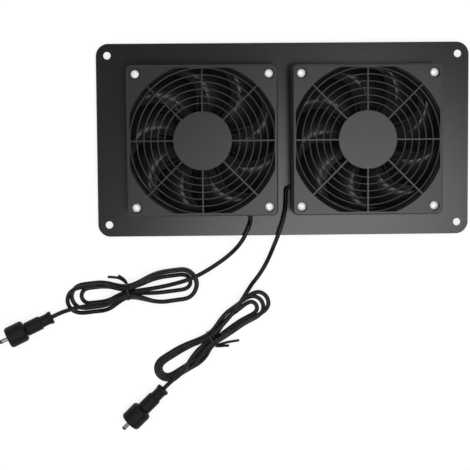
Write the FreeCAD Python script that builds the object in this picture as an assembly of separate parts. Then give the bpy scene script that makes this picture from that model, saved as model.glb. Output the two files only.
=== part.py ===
import FreeCAD, Part
import math
import os
from FreeCAD import Placement, Rotation, Vector

# Twin 120 mm exhaust fan on a mounting plate, lying on its back.
# X runs along the plate, Y across it, +Z out of the finger guards. Millimetres.
# Z is 0 on the surface that the screw ends rest on, under the middle of the plate.

# Mounting plate
plate_length = 300.0
plate_width = 155.0
plate_thickness = 2.0
plate_corner_radius = 10.0
plate_edge_break = 0.4
wall_hole_edge_x = 9.0
wall_hole_edge_y = 9.5
wall_hole_diameter = 6.0
opening_lip = 1.0

# Fan frame
fan_size = 119.5
fan_gap = 11.0
fan_depth = 25.0
fan_corner_radius = 4.5
flange_thickness = 5.0
duct_margin = 2.25
duct_wall = 1.8
mouth_flare = 3.5
mouth_depth = 7.0
mouth_wall = 1.2
post_diameter = 8.6
rib_thickness = 1.6
strut_count = 4
strut_width = 5.0
cable_strut_width = 7.2

# Screws, washers and nuts
screw_edge = 7.25
screw_diameter = 4.0
screw_hole_clearance = 0.4
screw_head_diameter = 6.4
screw_head_height = 2.4
screw_crown = 0.9
screw_tip_bevel = 0.5
cross_length = 4.2
cross_width = 1.1
cross_depth = 1.5
screw_protrusion = 1.8
washer_diameter = 9.0
washer_thickness = 0.8
nut_across_flats = 7.0
nut_height = 3.2
nut_bevel = 0.5
thread_clearance = 0.05

# Finger guard
guard_margin = 0.6
guard_thickness = 5.0
guard_corner_radius = 4.0
guard_edge_radius = 0.8
guard_bar = 2.05
guard_corner_relief = 4.2
head_recess_diameter = 9.0
head_recess_depth = 2.8
guard_disc_diameter = 46.6
guard_disc_thickness = 2.4
guard_disc_edge = 0.5
ring_count = 6
ring_pitch = 5.5
ring_width = 0.85
ring_height = 2.6
ring_drop = 0.4
ring_crown = 0.15
spoke_count = 8
spoke_width = 1.1
spoke_height = 3.2
spoke_drop = 0.15

# Impeller
hub_diameter = 44.0
hub_wall = 1.6
hub_cap = 2.0
hub_recess = 1.2
hub_edge_radius = 1.2
hub_boss_diameter = 8.0
hub_boss_height = 4.2
blade_count = 9
blade_tip_clearance = 1.3
blade_gap = 5.0
blade_root_lead_depth = 3.0
blade_tip_lead_depth = 4.6
blade_root_trail_height = 7.4
blade_tip_trail_height = 7.4
blade_root_thickness = 2.2
blade_tip_thickness = 1.4
blade_edge_thickness = 0.7
blade_camber = 0.085
blade_sweep_radius = 37.7
blade_sweep_rate = 0.685
blade_sweep_growth = 0.019
blade_stations = 5

# Motor
motor_base_diameter = 45.0
motor_base_thickness = 2.4
motor_rim_wall = 1.6
rotor_gap = 0.8
yoke_wall = 1.0
yoke_top_opening = 18.0
magnet_wall = 2.4
magnet_height = 11.0
air_gap = 0.45
shaft_diameter = 3.0
shaft_sunk = 1.0
bush_diameter = 8.0
bush_length = 14.0
running_clearance = 0.03
seat_clearance = 0.02
tube_wall = 1.5
tube_shoulder = 1.0
board_diameter = 38.0
board_thickness = 1.2
board_standoff = 1.8
board_post_diameter = 2.4
board_post_count = 3
chip_length = 4.0
chip_width = 3.0
chip_height = 0.5
core_gap = 2.8
core_height = 7.0
core_ring_wall = 2.4
pole_count = 4
pole_width = 4.0
pole_shoe_depth = 2.0
pole_shoe_gap = 3.0
coil_build = 2.0
coil_margin = 0.8
cap_thickness = 1.0
cap_gap = 0.3
clip_diameter = 5.2
clip_thickness = 0.45
clip_groove_depth = 0.4
clip_play = 0.4
clip_slot = 1.4

# Cables, hanks and ties
cable_diameter = 3.5
cable_floor_gap = 0.45
channel_clearance = 0.25
cable_exit_offset = 38.5
lead_inner_radius = 16.0
strand_gap = 0.9
waist_lift = 1.6
strand_spread = 0.7
strand_lag = 0.35
hank_stub = 12.0
cable_straight = 8.0
outlet_straight = 5.4
tie_diameter = 1.3
tie_clearance = 0.3
tie_corner_radius = 4.0

# Waterproof plug
plug_body_length = 23.5
plug_lip_diameter = 10.6
plug_lip_length = 2.2
plug_taper_length = 1.6
plug_waist_diameter = 9.3
plug_waist_length = 5.4
plug_shoulder_diameter = 11.4
plug_edge_radius = 0.8
plug_neck_diameter = 9.4
plug_collar_diameter = 11.4
plug_collar_length = 2.0
plug_core_diameter = 9.6
plug_core_length = 4.0
coupling_diameter = 17.4
coupling_length = 16.6
coupling_edge_radius = 2.7
coupling_bore = 13.4
coupling_web = 3.0
coupling_clearance = 0.3
seal_diameter = 1.6
sleeve_diameter = 3.5
sleeve_bore = 2.3
sleeve_reach = 7.0
sleeve_depth = 3.0
insulator_bore = 1.35
insulator_proud = 1.8

# Values that follow from those above
overrun = 1.0
floor_level = cable_diameter / 2
wall_hole_spacing_x = plate_length - 2 * wall_hole_edge_x
wall_hole_spacing_y = plate_width - 2 * wall_hole_edge_y
fan_pitch = fan_size + fan_gap
screw_pitch = fan_size - 2 * screw_edge
guard_size = fan_size - 2 * guard_margin
guard_flat_span = guard_size - 2 * guard_bar
guard_opening_radius = guard_flat_span / 2 + guard_corner_relief
plate_bottom = screw_protrusion + nut_height + washer_thickness
fan_bottom = plate_bottom + plate_thickness
guard_bottom = fan_bottom + fan_depth
duct_radius = fan_size / 2 - duct_margin
screw_hole_radius = screw_diameter / 2 + screw_hole_clearance
hub_radius = hub_diameter / 2
hub_top = fan_depth - hub_recess
hub_inner_top = hub_top - hub_cap
blade_tip_radius = duct_radius - blade_tip_clearance
cable_height = cable_diameter / 2 + cable_floor_gap
channel_width = cable_diameter + 2 * channel_clearance
channel_height = cable_height + cable_diameter / 2 + channel_clearance
strut_height = flange_thickness
rotor_bottom = strut_height + rotor_gap
yoke_radius = hub_radius - hub_wall - seat_clearance
magnet_radius = yoke_radius - yoke_wall - seat_clearance
stator_radius = magnet_radius - magnet_wall - air_gap
bush_radius = bush_diameter / 2
tube_radius = bush_radius + seat_clearance + tube_wall
shaft_radius = shaft_diameter / 2
clip_bottom = cap_thickness + cap_gap + clip_play
bush_bottom = clip_bottom + clip_thickness + clip_play
board_bottom = motor_base_thickness + board_standoff
core_bottom = board_bottom + board_thickness + core_gap
magnet_bottom = core_bottom + core_height / 2 - magnet_height / 2
cable_exit = Vector(cable_exit_offset, -fan_size / 2, cable_height)
strand_pitch = cable_diameter + strand_gap
strand_row = strand_pitch * math.sqrt(3) / 2
waist_level = floor_level + waist_lift
seal_seat_radius = plug_core_diameter / 2 - seal_diameter / 3


def cylinder(radius, bottom, top, x=0.0, y=0.0):
    return Part.makeCylinder(radius, top - bottom, Vector(x, y, bottom))


def ring(outer, inner, bottom, top):
    return cylinder(outer, bottom, top).cut(cylinder(inner, bottom - overrun, top + overrun))


def centred_box(length, width, bottom, top, x=0.0, y=0.0):
    return Part.makeBox(length, width, top - bottom, Vector(x - length / 2, y - width / 2, bottom))


def bar(start, end, width, bottom, top):
    """Upright bar of one width between two radii along +X."""
    return Part.makeBox(end - start, width, top - bottom, Vector(start, -width / 2, bottom))


def turned(shape, degrees):
    turned_shape = shape.copy()
    turned_shape.rotate(Vector(), Vector(0, 0, 1), degrees)
    return turned_shape


def around(shape, count, first=0.0):
    return [turned(shape, first + 360.0 * n / count) for n in range(count)]


def revolved(outline):
    """Solid of revolution about Z from (radius, height) points."""
    points = [Vector(radius, 0, height) for radius, height in outline]
    face = Part.Face(Part.makePolygon(points + points[:1]))
    return face.revolve(Vector(), Vector(0, 0, 1), 360)


def level_edges(shape, height):
    return [e for e in shape.Edges if all(abs(v.Z - height) < 1e-6 for v in e.Vertexes)]


def slab(length, width, corner, bottom, top):
    block = centred_box(length, width, bottom, top)
    upright = [e for e in block.Edges if abs(e.Vertexes[0].Z - e.Vertexes[1].Z) > 1e-6]
    return block.makeFillet(corner, upright)


def corners(spacing_x, spacing_y):
    return [(sx * spacing_x / 2, sy * spacing_y / 2) for sx in (-1, 1) for sy in (-1, 1)]


def at_screws(shape):
    copies = []
    for x, y in corners(screw_pitch, screw_pitch):
        copy = shape.copy()
        copy.translate(Vector(x, y, 0))
        copies.append(copy)
    return copies


# Mounting plate: sheet with four wall holes and an air opening under each fan
def mounting_plate():
    top = plate_bottom + plate_thickness
    plate = slab(plate_length, plate_width, plate_corner_radius, plate_bottom, top)
    plate = plate.makeChamfer(plate_edge_break, level_edges(plate, top))
    low = plate_bottom - overrun
    high = top + overrun
    tools = []
    for x, y in corners(wall_hole_spacing_x, wall_hole_spacing_y):
        tools.append(cylinder(wall_hole_diameter / 2, low, high, x, y))
    for side in (-1, 1):
        x_fan = side * fan_pitch / 2
        tools.append(cylinder(duct_radius - opening_lip, low, high, x_fan))
        for x, y in corners(screw_pitch, screw_pitch):
            tools.append(cylinder(screw_hole_radius, low, high, x_fan + x, y))
    return plate.cut(tools)


# Fan frame: two square flanges and a duct with a flared mouth; the motor mount stands in it on struts
def duct_mouth():
    start = Vector(duct_radius, 0, fan_depth - mouth_depth)
    end = Vector(duct_radius + mouth_flare, 0, fan_depth)
    bow = (start + end) * 0.5 + Vector(-mouth_flare, 0, mouth_flare) * 0.25
    above = Vector(0, 0, overrun)
    axis_low = Vector(0, 0, start.z)
    axis_high = Vector(0, 0, end.z) + above
    edges = [
        Part.LineSegment(axis_low, start).toShape(),
        Part.Arc(start, bow, end).toShape(),
        Part.LineSegment(end, end + above).toShape(),
        Part.LineSegment(end + above, axis_high).toShape(),
        Part.LineSegment(axis_high, axis_low).toShape(),
    ]
    mouth = Part.Face(Part.Wire(edges)).revolve(Vector(), Vector(0, 0, 1), 360)
    span = fan_size - 2 * mouth_wall
    return mouth.common(centred_box(span, span, start.z, end.z + overrun))


def bend_point():
    """Corner of the lead's channel: on the strut's line, straight inside the exit."""
    return Vector(cable_exit.x, -cable_exit.x * math.tan(math.radians(cable_strut_angle())), 0)


def cable_strut_angle():
    reach = duct_radius + duct_wall
    return math.degrees(math.acos(cable_exit.x / reach))


def lead_edges(height):
    """Path of the cable held in the frame, from beside the bearing tube to the exit."""
    bend = bend_point()
    lift = Vector(0, 0, height)
    inner = bend * (lead_inner_radius / bend.Length)
    exit_below = Vector(cable_exit.x, cable_exit.y, 0)
    return route_edges([inner + lift, bend + lift, exit_below + lift])[0]


def cable_channel():
    """Open groove in the strut and flange, wider than the cable on both sides."""
    outline = Part.Wire(lead_edges(-overrun)).makeOffset2D(channel_width / 2)
    return Part.Face(outline).extrude(Vector(0, 0, overrun + channel_height))


def struts():
    """Bars from the motor base into shallow seats in the duct wall, the wide one first."""
    start = motor_base_diameter / 2 - motor_rim_wall / 2
    end = duct_radius + duct_wall / 2
    wide = bar(start, end, cable_strut_width, 0, strut_height)
    plain = bar(start, end, strut_width, 0, strut_height)
    first = -cable_strut_angle()
    return [turned(wide, first)] + around(plain, strut_count, first)[1:]


def fan_frame():
    near_flange = slab(fan_size, fan_size, fan_corner_radius, 0, flange_thickness)
    far_flange = slab(fan_size, fan_size, fan_corner_radius, fan_depth - flange_thickness, fan_depth)
    posts = at_screws(cylinder(post_diameter / 2, 0, fan_depth))
    diagonal = screw_pitch / math.sqrt(2)
    ribs = around(bar(duct_radius + duct_wall / 2, diagonal, rib_thickness, 0, fan_depth), 4, 45)
    duct = cylinder(duct_radius + duct_wall, 0, fan_depth)
    shell = near_flange.fuse([far_flange, duct] + posts + ribs)
    bore = cylinder(duct_radius, -overrun, fan_depth + overrun)
    holes = at_screws(cylinder(screw_hole_radius, -overrun, fan_depth + overrun))
    return shell.cut([bore, duct_mouth(), cable_channel()] + holes + struts())


def motor_mount():
    base_radius = motor_base_diameter / 2
    base = cylinder(base_radius, 0, motor_base_thickness)
    rim = ring(base_radius, base_radius - motor_rim_wall, 0, strut_height)
    wide_tube = cylinder(tube_radius + tube_shoulder, 0, core_bottom)
    tube = cylinder(tube_radius, 0, core_bottom + core_height + coil_build)
    board_post = cylinder(board_post_diameter / 2, 0, board_bottom, board_diameter / 2 - board_post_diameter)
    board_posts = around(board_post, board_post_count, 60 - cable_strut_angle())
    mount = base.fuse([rim, wide_tube, tube] + board_posts + struts())
    tube_bore = cylinder(bush_radius + seat_clearance, -overrun, fan_depth)
    return mount.cut([tube_bore, cable_channel()])


def motor_lead():
    """The cable's held length, from under the circuit board to the frame's side."""
    return pipe(lead_edges(cable_height))


# Impeller: a moulded cup with swept blades, the near edge leading
def blade_section(radius):
    share = (radius - hub_radius) / (blade_tip_radius - hub_radius)

    def between(root, tip):
        return root + (tip - root) * share

    wrap = 2 * math.pi * radius / blade_count - blade_gap
    lead_height = fan_depth - between(blade_root_lead_depth, blade_tip_lead_depth)
    trail_height = between(blade_root_trail_height, blade_tip_trail_height)
    thickness = between(blade_root_thickness, blade_tip_thickness)
    from_middle = math.hypot(radius, wrap / 2) - blade_sweep_radius
    lead_angle = blade_sweep_rate * from_middle + blade_sweep_growth * from_middle ** 2
    angle = math.radians(lead_angle) - math.atan2(wrap / 2, radius)
    outward = Vector(math.cos(angle), math.sin(angle), 0)
    onward = Vector(-math.sin(angle), math.cos(angle), 0)
    upward = Vector(0, 0, 1)
    lead = outward * radius + onward * (wrap / 2) + upward * lead_height
    trail = outward * radius - onward * (wrap / 2) + upward * trail_height
    chord = lead - trail
    lift = chord.cross(outward) * (-1 / chord.Length)
    middle = (lead + trail) * 0.5 + lift * (blade_camber * chord.Length)
    edge = lift * (blade_edge_thickness / 2)
    half = lift * (thickness / 2)
    edges = [
        Part.Arc(trail + edge, middle + half, lead + edge).toShape(),
        Part.LineSegment(lead + edge, lead - edge).toShape(),
        Part.Arc(lead - edge, middle - half, trail - edge).toShape(),
        Part.LineSegment(trail - edge, trail + edge).toShape(),
    ]
    return Part.Wire(edges)


def impeller():
    first = hub_radius - hub_wall / 2
    last = duct_radius
    step = (last - first) / (blade_stations - 1)
    sections = [blade_section(first + step * n) for n in range(blade_stations)]
    blade = Part.makeLoft(sections, True, False)
    blade = blade.common(cylinder(blade_tip_radius, 0, fan_depth))
    inner = hub_radius - hub_wall
    cup = cylinder(hub_radius, rotor_bottom, hub_top)
    cup = cup.makeFillet(hub_edge_radius, level_edges(cup, hub_top))
    cup = cup.cut(cylinder(inner, rotor_bottom - overrun, hub_inner_top))
    boss = cylinder(hub_boss_diameter / 2, hub_inner_top - hub_boss_height, hub_inner_top)
    body = cup.fuse([boss] + around(blade, blade_count))
    shaft_top = hub_inner_top + shaft_sunk
    return body.cut(cylinder(shaft_radius + seat_clearance, 0, shaft_top + seat_clearance))


# Motor pieces
def rotor_yoke():
    top = hub_inner_top - seat_clearance
    bottom = rotor_bottom + seat_clearance
    cup = cylinder(yoke_radius, bottom, top)
    cup = cup.cut(cylinder(yoke_radius - yoke_wall, bottom - overrun, top - yoke_wall))
    return cup.cut(cylinder(yoke_top_opening / 2, bottom, top + overrun))


def rotor_magnet():
    return ring(magnet_radius, magnet_radius - magnet_wall, magnet_bottom, magnet_bottom + magnet_height)


def rotor_shaft():
    bottom = cap_thickness + cap_gap
    shaft = cylinder(shaft_radius, bottom, hub_inner_top + shaft_sunk)
    groove = ring(shaft_radius + overrun, shaft_radius - clip_groove_depth,
                  clip_bottom - seat_clearance, clip_bottom + clip_thickness + seat_clearance)
    return shaft.cut(groove)


def retaining_clip():
    inner = shaft_radius - clip_groove_depth + seat_clearance
    clip = ring(clip_diameter / 2, inner, clip_bottom, clip_bottom + clip_thickness)
    return clip.cut(bar(0, clip_diameter, clip_slot, 0, fan_depth))


def bearing_bush():
    return ring(bush_radius, shaft_radius + running_clearance, bush_bottom, bush_bottom + bush_length)


def bearing_cap():
    return cylinder(bush_radius, 0, cap_thickness)


def pole_reach():
    return tube_radius + core_ring_wall, stator_radius - pole_shoe_depth


def stator_core():
    root, shoe = pole_reach()
    top = core_bottom + core_height
    hub = ring(root, tube_radius + seat_clearance, core_bottom, top)
    arms = around(bar(root - core_ring_wall / 2, shoe + pole_shoe_depth / 2, pole_width, core_bottom, top),
                  pole_count, 45)
    shoes = ring(stator_radius, shoe, core_bottom, top)
    gaps = around(bar(0, stator_radius + overrun, pole_shoe_gap, 0, fan_depth), pole_count)
    return hub.fuse(arms + [shoes.cut(gaps)])


def stator_windings():
    root, shoe = pole_reach()
    start = root + coil_margin
    end = shoe - coil_margin
    wide = pole_width + 2 * coil_build
    top = core_bottom + core_height
    block = bar(start, end, wide, core_bottom - coil_build, top + coil_build)
    along = [e for e in block.Edges if abs(e.Vertexes[0].X - e.Vertexes[1].X) > 1e-6]
    block = block.makeFillet(coil_build * 0.6, along)
    window = bar(0, stator_radius, pole_width + 2 * seat_clearance,
                 core_bottom - seat_clearance, top + seat_clearance)
    return Part.Compound(around(block.cut(window), pole_count, 45))


def circuit_board():
    top = board_bottom + board_thickness
    board = ring(board_diameter / 2, tube_radius + tube_shoulder + channel_clearance, board_bottom, top)
    chip = centred_box(chip_length, chip_width, top, top + chip_height, 0, board_diameter / 2 - chip_width)
    return board.fuse(chip)


# Finger guard: square frame, rings on spokes round a plain disc
def finger_guard():
    top = guard_thickness
    frame = slab(guard_size, guard_size, guard_corner_radius, 0, top)
    frame = frame.makeFillet(guard_edge_radius, level_edges(frame, top))
    flats = centred_box(guard_flat_span, guard_flat_span, -overrun, top + overrun)
    opening = cylinder(guard_opening_radius, -overrun, top + overrun).common(flats)
    recesses = at_screws(cylinder(head_recess_diameter / 2, top - head_recess_depth, top + overrun))
    holes = at_screws(cylinder(screw_hole_radius, -overrun, top + overrun))
    frame = frame.cut([opening] + recesses + holes)

    disc = cylinder(guard_disc_diameter / 2, top - guard_disc_thickness, top)
    disc = disc.makeFillet(guard_disc_edge, level_edges(disc, top))
    spoke_top = top - spoke_drop
    spoke = bar(guard_disc_diameter / 2 - overrun, guard_opening_radius, spoke_width,
                spoke_top - spoke_height, spoke_top)
    inset = guard_size - (guard_size - guard_flat_span) / 2
    spokes = [s.common(centred_box(inset, inset, 0, top)) for s in around(spoke, spoke_count)]
    rings = []
    for n in range(ring_count):
        rings.append(guard_ring(guard_flat_span / 2 - ring_pitch * n))
    return frame.fuse([disc] + spokes + rings)


def guard_ring(radius):
    """Upright ring with a slightly rounded top."""
    half = ring_width / 2
    high = guard_thickness - ring_drop
    low = high - ring_height
    inner_low = Vector(radius - half, 0, low)
    outer_low = Vector(radius + half, 0, low)
    inner_high = Vector(radius - half, 0, high - ring_crown)
    outer_high = Vector(radius + half, 0, high - ring_crown)
    edges = [
        Part.LineSegment(inner_low, outer_low).toShape(),
        Part.LineSegment(outer_low, outer_high).toShape(),
        Part.Arc(outer_high, Vector(radius, 0, high), inner_high).toShape(),
        Part.LineSegment(inner_high, inner_low).toShape(),
    ]
    return Part.Face(Part.Wire(edges)).revolve(Vector(), Vector(0, 0, 1), 360)


# Fasteners, four of each to a fan, with heights above the resting surface
def guard_screws():
    seat = guard_bottom + guard_thickness - head_recess_depth
    radius = screw_head_diameter / 2
    high = seat + screw_head_height
    dome_radius = (radius ** 2 + screw_crown ** 2) / (2 * screw_crown)
    dome = Part.makeSphere(dome_radius, Vector(0, 0, high - dome_radius))
    head = cylinder(radius, seat, high).common(dome)
    shank = cylinder(screw_diameter / 2, 0, seat)
    shank = shank.makeChamfer(screw_tip_bevel, level_edges(shank, 0))
    cross = [centred_box(cross_length, cross_width, high - cross_depth, high + overrun),
             centred_box(cross_width, cross_length, high - cross_depth, high + overrun)]
    return Part.Compound(at_screws(head.fuse(shank).cut(cross)))


def flat_washers():
    top = plate_bottom
    washer = ring(washer_diameter / 2, screw_hole_radius, top - washer_thickness, top)
    return Part.Compound(at_screws(washer))


def hex_nuts():
    top = plate_bottom - washer_thickness
    bottom = top - nut_height
    corner = nut_across_flats / math.sqrt(3)
    points = [Vector(corner * math.cos(n * math.pi / 3), corner * math.sin(n * math.pi / 3), bottom)
              for n in range(7)]
    prism = Part.Face(Part.makePolygon(points)).extrude(Vector(0, 0, nut_height))
    turned_blank = cylinder(corner, bottom, top)
    ends = level_edges(turned_blank, bottom) + level_edges(turned_blank, top)
    blank = prism.common(turned_blank.makeChamfer(nut_bevel, ends))
    bore = cylinder(screw_diameter / 2 + thread_clearance, bottom - overrun, top + overrun)
    return Part.Compound(at_screws(blank.cut(bore)))


# Cable paths: straight runs and tangent arcs on a route, biarcs round a hank
def arc_edge(start, corner, end):
    """Arc that leaves start and reaches end along the lines to corner, with its radius."""
    middle = (start + end) * 0.5
    half = (end - start).Length / 2
    rise = (corner - middle).Length
    if rise < 1e-4:
        return Part.LineSegment(start, end).toShape(), math.inf
    turn = 2 * math.atan2(rise, half)
    through = middle + (corner - middle) * (half * math.tan(turn / 4) / rise)
    return Part.Arc(start, through, end).toShape(), half / math.sin(turn / 2)


def route_edges(points):
    edges = []
    radii = []
    here = points[0]
    for before, corner, after in zip(points, points[1:], points[2:]):
        reach = 0.45 * min((corner - before).Length, (after - corner).Length)
        start = corner + (before - corner).normalize() * reach
        end = corner + (after - corner).normalize() * reach
        arc, radius = arc_edge(start, corner, end)
        edges += [Part.LineSegment(here, start).toShape(), arc]
        radii.append(radius)
        here = end
    edges.append(Part.LineSegment(here, points[-1]).toShape())
    return edges, radii


def biarc_edges(nodes):
    """Pairs of arcs through (point, direction) nodes, smooth at every joint."""
    edges = []
    for (start, out), (end, into) in zip(nodes, nodes[1:]):
        chord = end - start
        bend = 2 * (1 - out.dot(into))
        pull = 2 * chord.dot(out + into)
        if bend < 1e-9:
            leg = chord.dot(chord) / pull
        else:
            leg = (math.sqrt(pull ** 2 + 4 * bend * chord.dot(chord)) - pull) / (2 * bend)
        first = start + out * leg
        second = end - into * leg
        joint = (first + second) * 0.5
        edges += [arc_edge(start, first, joint)[0], arc_edge(joint, second, end)[0]]
    return edges


def pipe(edges, diameter=cable_diameter):
    wire = Part.Wire(edges)
    start = edges[0].valueAt(edges[0].FirstParameter)
    along = edges[0].tangentAt(edges[0].FirstParameter)
    profile = Part.Wire(Part.makeCircle(diameter / 2, start, along))
    return wire.makePipeShell([profile], True, False)


# Hank: three loops drawn in at a tied waist, in its own axes u along, v across
def eased(share):
    share = min(max(share, 0.0), 1.0)
    return share * share * (3 - 2 * share)


def eased_slope(share):
    return 6 * share * (1 - share) if 0 < share < 1 else 0.0


def waist_slots():
    """Place across and above the waist of each pass: one in the middle, then low, high and side pairs."""
    pitch = strand_pitch
    row = strand_row
    return [(0, row), (pitch / 2, 0), (-pitch / 2, 0), (pitch / 2, 2 * row), (-pitch / 2, 2 * row),
            (pitch, row), (-pitch, row)]


def left_lobes(reaches, half, middle):
    """Reach, the lanes on the -v and +v sides and their heights, of the lobes from inner to outer."""
    pitch = strand_pitch
    low = floor_level
    high = floor_level + strand_row
    return [(reaches[0], middle - half, middle + half, low, low),
            (reaches[1], middle - half - pitch, middle + half + pitch / 2, low, high),
            (reaches[2], middle - half - 1.5 * pitch, middle + half + pitch, high, low)]


def right_lobes(reach, half, middle):
    """The same on the right, where the second lobe lies on the first and the third."""
    lobes = []
    for n in range(3):
        out = n * strand_pitch / 2
        level = floor_level + (n % 2) * strand_row
        lobes.append((reach + out, middle - half - out, middle + half + out, level, level))
    return lobes


def half_pass(side, run, slot, lane, level):
    """Nodes from the waist out to the side of a lobe: across first, then down."""
    nodes = []
    steps = 2
    raised = waist_level + slot[1]
    for n in range(steps + 1):
        share = n / steps
        across = share / strand_spread
        down = (share - strand_lag) / (1 - strand_lag)
        point = Vector(side * run * share, slot[0] + (lane - slot[0]) * eased(across),
                       raised + (level - raised) * eased(down))
        direction = Vector(side * run, (lane - slot[0]) * eased_slope(across) / strand_spread,
                           (level - raised) * eased_slope(down) / (1 - strand_lag))
        nodes.append((point, direction.normalize()))
    return nodes


def lobe_nodes(side, run, lobe, out_slot, in_slot):
    """Nodes of one lobe: out of the waist on one side of it, round the tip and back in on the other."""
    reach, minus, plus, minus_level, plus_level = lobe
    lanes = [(minus, minus_level), (plus, plus_level)]
    (out_lane, out_level), (in_lane, in_level) = lanes if side < 0 else reversed(lanes)
    half = (plus - minus) / 2
    end = side * (reach - half)
    out = Vector(side, 0, 0)
    tip = Vector(side * reach, (plus + minus) / 2, (plus_level + minus_level) / 2)
    round_tip = Vector(0, in_lane - out_lane, in_level - out_level).normalize()
    nodes = half_pass(side, run, out_slot, out_lane, out_level)[1:]
    nodes += [(Vector(end, out_lane, out_level), out), (tip, round_tip), (Vector(end, in_lane, in_level), out * -1)]
    inward = half_pass(side, run, in_slot, in_lane, in_level)
    return nodes + [(point, direction * -1) for point, direction in reversed(inward)]


def hank_edges(shape, placement):
    """Path of the hank from the middle of its waist outwards, three loops and the outer end."""
    slots = waist_slots()
    back = Vector(-1, 0, 0)
    centre = Vector(0, 0, waist_level + strand_row)
    nodes = [(centre - back * hank_stub, back), (centre, back)]
    lefts = left_lobes(*shape["left"])
    rights = right_lobes(*shape["right"])
    left_run, right_run = shape["runs"]
    for n, (left, right) in enumerate(zip(lefts, rights)):
        nodes += lobe_nodes(-1, left_run, left, slots[2 * n], slots[2 * n + 1])
        nodes += lobe_nodes(1, right_run, right, slots[2 * n + 1], slots[2 * n + 2])
    outer_lane = lefts[0][1] - 2 * strand_pitch
    nodes += half_pass(-1, left_run, slots[-1], outer_lane, floor_level)[1:]
    straight, length, degrees = shape["outer_end"]
    angle = math.radians(degrees)
    heading = Vector(-math.cos(angle), -math.sin(angle), 0)
    turn_start = nodes[-1][0] + back * straight
    bent = turn_start + Vector(-math.sin(angle), math.cos(angle) - 1, 0) * (length / angle)
    nodes += [(turn_start, back), (bent, heading), (bent + heading * cable_diameter, heading)]
    turn = placement.Rotation
    return biarc_edges([(placement.multVec(point), turn.multVec(along)) for point, along in nodes])


def along_wire(edges):
    wire = Part.Wire(edges)
    return wire.discretize(Number=round(2 * wire.Length / cable_diameter))


def least_gap(edges):
    """Smallest clear distance of the hank's tube to itself, measured on points along it."""
    skip = 8
    points = along_wire(edges)
    nearest = min((a - b).Length for n, a in enumerate(points) for b in points[n + skip:])
    return nearest - cable_diameter


def crossing_gap(route, loops, joint):
    """Smallest clear distance of a route to the hank, away from where they join."""
    apart = [point for point in along_wire(route) if (point - joint).Length > 4 * cable_diameter]
    nearest = min(((a - b).Length for a in apart for b in along_wire(loops)), default=math.inf)
    return nearest - cable_diameter


def twist_tie(placement, tails):
    """Wire round the waist with two free ends, each a height on its side and a route from there."""
    clear = cable_diameter / 2 + tie_clearance + tie_diameter / 2
    half_width = strand_pitch + clear
    half_height = strand_row + clear
    middle = waist_level + strand_row
    blank = slab(2 * half_height, 2 * half_width, tie_corner_radius, -overrun, 0)
    outline = [face for face in blank.Faces if face.normalAt(0, 0).z > 0.9][0].OuterWire
    outline.Placement = Placement(Vector(0, 0, middle), Rotation(Vector(0, 1, 0), 90))
    band = pipe(outline.Edges, tie_diameter)
    ends = []
    for tail in tails:
        start = Vector(0, half_width, middle + tail[0])
        ends.append(pipe(route_edges([start] + vectors(tail[1:]))[0], tie_diameter))
    return placed(band.fuse(ends), placement)


# Waterproof plug, built up from the cable end along +Z
def plug_body():
    waist_bottom = plug_lip_length + plug_taper_length
    waist_top = waist_bottom + plug_waist_length
    neck_top = plug_body_length + coupling_web + 2 * coupling_clearance
    collar_top = neck_top + plug_collar_length
    outline = [
        (0, 0), (plug_lip_diameter / 2, 0), (plug_lip_diameter / 2, plug_lip_length),
        (plug_waist_diameter / 2, waist_bottom), (plug_waist_diameter / 2, waist_top),
        (plug_shoulder_diameter / 2, waist_top + plug_taper_length),
        (plug_shoulder_diameter / 2, plug_body_length), (plug_neck_diameter / 2, plug_body_length),
        (plug_neck_diameter / 2, neck_top), (plug_collar_diameter / 2, neck_top),
        (plug_collar_diameter / 2, collar_top), (plug_core_diameter / 2, collar_top),
        (plug_core_diameter / 2, collar_top + plug_core_length), (0, collar_top + plug_core_length),
    ]
    body = revolved(outline)
    body = body.makeFillet(plug_edge_radius, level_edges(body, 0) + level_edges(body, plug_body_length)[:1])
    front = collar_top + plug_core_length
    hole = cylinder(sleeve_diameter / 2 + seat_clearance, front - sleeve_depth, front + overrun)
    return body.cut([hole, seal_groove(front)])


def plug_front():
    return plug_body_length + coupling_web + 2 * coupling_clearance + plug_collar_length + plug_core_length


def seal_height(front):
    return front - plug_core_length / 2


def seal_groove(front):
    return Part.makeTorus(seal_seat_radius + seal_diameter / 2, seal_diameter / 2 + seat_clearance,
                          Vector(0, 0, seal_height(front)))


def plug_seal():
    return Part.makeTorus(seal_seat_radius + seal_diameter / 2, seal_diameter / 2,
                          Vector(0, 0, seal_height(plug_front())))


def plug_sleeve():
    front = plug_front()
    tip = plug_body_length + coupling_length + sleeve_reach
    return ring(sleeve_diameter / 2, sleeve_bore / 2, front - sleeve_depth, tip - insulator_proud)


def plug_insulator():
    front = plug_front()
    tip = plug_body_length + coupling_length + sleeve_reach
    tube = cylinder(sleeve_bore / 2 - seat_clearance, front - sleeve_depth, tip)
    lip = cylinder(sleeve_diameter / 2, tip - insulator_proud, tip)
    body = tube.fuse(lip)
    body = body.makeFillet(insulator_proud / 2, level_edges(body, tip))
    return body.cut(cylinder(insulator_bore / 2, front - overrun, tip + overrun))


def coupling_nut():
    bottom = plug_body_length + coupling_clearance
    top = plug_body_length + coupling_length
    nut = cylinder(coupling_diameter / 2, bottom, top)
    nut = nut.makeFillet(coupling_edge_radius, level_edges(nut, bottom) + level_edges(nut, top))
    pocket = cylinder(coupling_bore / 2, bottom + coupling_web, top + overrun)
    neck = cylinder(plug_neck_diameter / 2 + coupling_clearance, bottom - overrun, top)
    return nut.cut([pocket, neck])


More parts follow.
